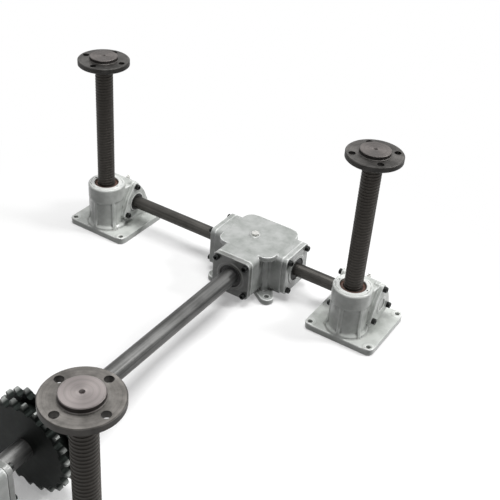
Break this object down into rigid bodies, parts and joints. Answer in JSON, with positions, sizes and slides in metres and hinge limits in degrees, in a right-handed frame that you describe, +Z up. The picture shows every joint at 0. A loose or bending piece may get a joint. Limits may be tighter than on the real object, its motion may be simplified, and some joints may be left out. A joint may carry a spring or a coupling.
{
  "type": "linked worm screw jack set",
  "caption": "Flanged worm screw jacks linked through bevel gearboxes and shafts by one chain-driven line shaft, raising their round top plates together.",
  "frame": {"origin": "centre of the rear gearbox's four foot holes, on the mounting plane", "axes": "+X along the cross shafts to the right-hand jacks, +Y along the long shaft to the rear, +Z up along the lifting screws"},
  "size_m": [0.835, 1.102, 0.4789],
  "materials": {
    "casting": "silver-grey machine enamel on sand-cast iron",
    "plate_steel": "lathe-turned steel, thin oil",
    "screw_steel": "rolled trapezoidal thread, oiled and darkened",
    "shaft_steel": "dark cold-drawn bar",
    "tube_steel": "bright drawn tube",
    "steel_bright": "ground gear steel",
    "black_steel": "black oxide",
    "bronze": "cast gear bronze, machined",
    "brass": "turned brass",
    "seal_rubber": "moulded nitrile rubber",
    "wiper_felt": "grease-soaked felt"
  },
  "bodies": {
    "frame": {"jack_housing_rear_left": "casting", "jack_housing_rear_right": "casting", "jack_housing_front_right": "casting", "jack_housing_front_left": "casting", "drive_cover_rear_left": "casting", "drive_cover_rear_right": "casting", "drive_cover_front_right": "casting", "drive_cover_front_left": "casting", "blind_cover_rear_left": "casting", "blind_cover_rear_right": "casting", "blind_cover_front_right": "casting", "blind_cover_front_left": "casting", "gearbox_housing_rear": "casting", "gearbox_housing_front": "casting", "gearbox_cover_rear_left": "casting", "gearbox_cover_rear_right": "casting", "gearbox_cover_rear_input": "casting", "gearbox_cover_front_left": "casting", "gearbox_cover_front_right": "casting", "gearbox_cover_front_input": "casting", "bearing_caps": "casting", "screw_wipers": "wiper_felt", "thrust_bearings": "steel_bright", "worm_bearings": "steel_bright", "gearbox_bearings": "steel_bright", "shaft_seals": "seal_rubber", "cover_screws": "black_steel", "grease_nipples": "brass", "breather_plugs": "brass"},
    "main_line": {"long_shaft": "tube_steel", "sprocket": "black_steel", "input_pinion_rear": "steel_bright", "input_pinion_front": "steel_bright"},
    "rear_line": {"through_shaft_rear": "steel_bright", "bevel_gear_rear": "steel_bright", "worm_rear_left": "steel_bright", "cross_shaft_rear_left": "shaft_steel", "worm_rear_right": "steel_bright", "cross_shaft_rear_right": "shaft_steel"},
    "front_line": {"through_shaft_front": "steel_bright", "bevel_gear_front": "steel_bright", "worm_front_right": "steel_bright", "cross_shaft_front_right": "shaft_steel", "worm_front_left": "steel_bright", "cross_shaft_front_left": "shaft_steel"},
    "wheel_rear_left": {"worm_wheel_rear_left": "bronze"},
    "screw_rear_left": {"lifting_screw_rear_left": "screw_steel", "top_plate_rear_left": "plate_steel"},
    "wheel_rear_right": {"worm_wheel_rear_right": "bronze"},
    "screw_rear_right": {"lifting_screw_rear_right": "screw_steel", "top_plate_rear_right": "plate_steel"},
    "wheel_front_right": {"worm_wheel_front_right": "bronze"},
    "screw_front_right": {"lifting_screw_front_right": "screw_steel", "top_plate_front_right": "plate_steel"},
    "wheel_front_left": {"worm_wheel_front_left": "bronze"},
    "screw_front_left": {"lifting_screw_front_left": "screw_steel", "top_plate_front_left": "plate_steel"}
  },
  "joints": [
    {"name": "main_spin", "type": "hinge", "parent": "frame", "child": "main_line", "pos_m": [0, -0.467, 0.065], "axis": [0, 1, 0], "range_deg": [0, 86400]},
    {"name": "rear_line_spin", "type": "hinge", "parent": "frame", "child": "rear_line", "pos_m": [0, 0, 0.065], "axis": [1, 0, 0], "range_deg": [0, 86400]},
    {"name": "front_line_spin", "type": "hinge", "parent": "frame", "child": "front_line", "pos_m": [0, -0.934, 0.065], "axis": [1, 0, 0], "range_deg": [-86400, 0]},
    {"name": "wheel_spin_rear_left", "type": "hinge", "parent": "frame", "child": "wheel_rear_left", "pos_m": [-0.405, -0.052, 0.065], "axis": [0, 0, 1], "range_deg": [0, 14400.5]},
    {"name": "screw_lift_rear_left", "type": "slide", "parent": "frame", "child": "screw_rear_left", "axis": [0, 0, 1], "range_m": [-0.28001, 0]},
    {"name": "wheel_spin_rear_right", "type": "hinge", "parent": "frame", "child": "wheel_rear_right", "pos_m": [0.265, -0.052, 0.065], "axis": [0, 0, 1], "range_deg": [0, 14400.5]},
    {"name": "screw_lift_rear_right", "type": "slide", "parent": "frame", "child": "screw_rear_right", "axis": [0, 0, 1], "range_m": [-0.28001, 0]},
    {"name": "wheel_spin_front_right", "type": "hinge", "parent": "frame", "child": "wheel_front_right", "pos_m": [0.265, -0.882, 0.065], "axis": [0, 0, 1], "range_deg": [0, 14400.5]},
    {"name": "screw_lift_front_right", "type": "slide", "parent": "frame", "child": "screw_front_right", "axis": [0, 0, 1], "range_m": [-0.28001, 0]},
    {"name": "wheel_spin_front_left", "type": "hinge", "parent": "frame", "child": "wheel_front_left", "pos_m": [-0.405, -0.882, 0.065], "axis": [0, 0, 1], "range_deg": [0, 14400.5]},
    {"name": "screw_lift_front_left", "type": "slide", "parent": "frame", "child": "screw_front_left", "axis": [0, 0, 1], "range_m": [-0.28001, 0]}
  ],
  "couplings": [
    {"joint": "rear_line_spin", "follows": "main_spin", "ratio": 1},
    {"joint": "front_line_spin", "follows": "main_spin", "ratio": -1},
    {"joint": "wheel_spin_rear_left", "follows": "main_spin", "ratio": 0.16667},
    {"joint": "screw_lift_rear_left", "follows": "main_spin", "m_per_rad": -0.00018568},
    {"joint": "wheel_spin_rear_right", "follows": "main_spin", "ratio": 0.16667},
    {"joint": "screw_lift_rear_right", "follows": "main_spin", "m_per_rad": -0.00018568},
    {"joint": "wheel_spin_front_right", "follows": "main_spin", "ratio": 0.16667},
    {"joint": "screw_lift_front_right", "follows": "main_spin", "m_per_rad": -0.00018568},
    {"joint": "wheel_spin_front_left", "follows": "main_spin", "ratio": 0.16667},
    {"joint": "screw_lift_front_left", "follows": "main_spin", "m_per_rad": -0.00018568}
  ]
}
